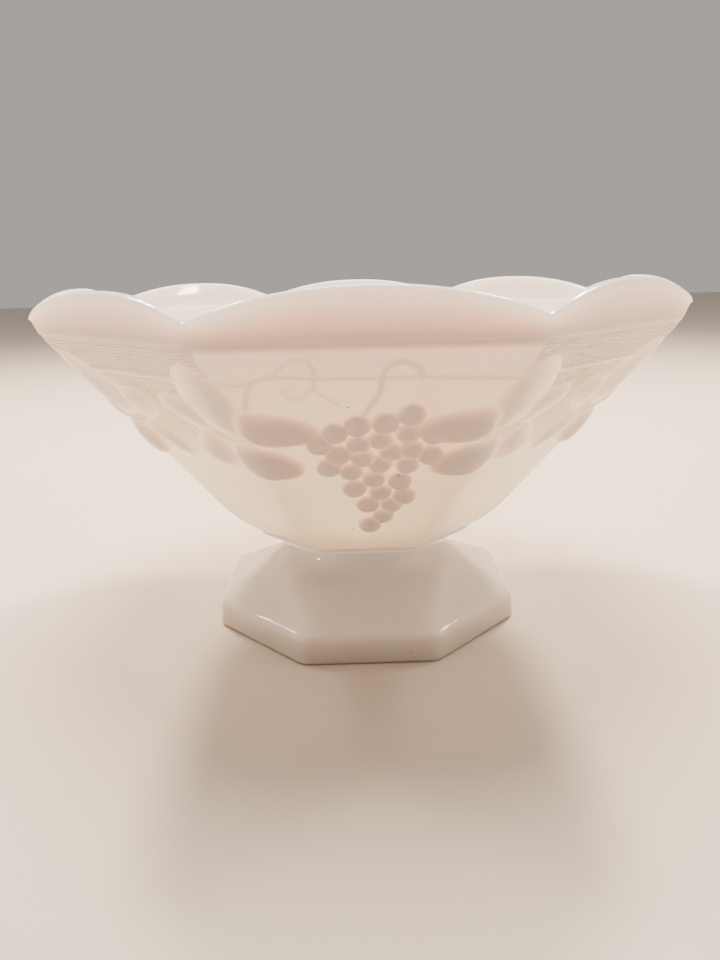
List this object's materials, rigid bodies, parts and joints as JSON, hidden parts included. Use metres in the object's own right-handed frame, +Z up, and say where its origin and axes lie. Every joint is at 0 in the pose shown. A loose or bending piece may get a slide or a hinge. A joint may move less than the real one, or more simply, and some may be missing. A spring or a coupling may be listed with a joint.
{
  "type": "footed serving bowl",
  "caption": "Octagonal footed serving bowl in opaque white pressed glass, with a scalloped lip and raised grapes and vine leaves.",
  "frame": {"origin": "centre of the foot's underside, on the surface that the bowl stands on", "axes": "+Z up along the bowl's axis; -Y out of the middle of one grape panel; +X out of the next grape panel but one corner pair, a quarter turn on"},
  "size_m": [0.222, 0.222, 0.1333],
  "materials": {
    "bowl_glass": "opaque white opal glass, translucent where it is thin: satin outside, fire-polished inside and on the lip",
    "foot_glass": "opaque white opal glass, thick, smooth and glossy"
  },
  "bodies": {
    "root": {"bowl": "bowl_glass", "pedestal_foot": "foot_glass"}
  },
  "joints": []
}
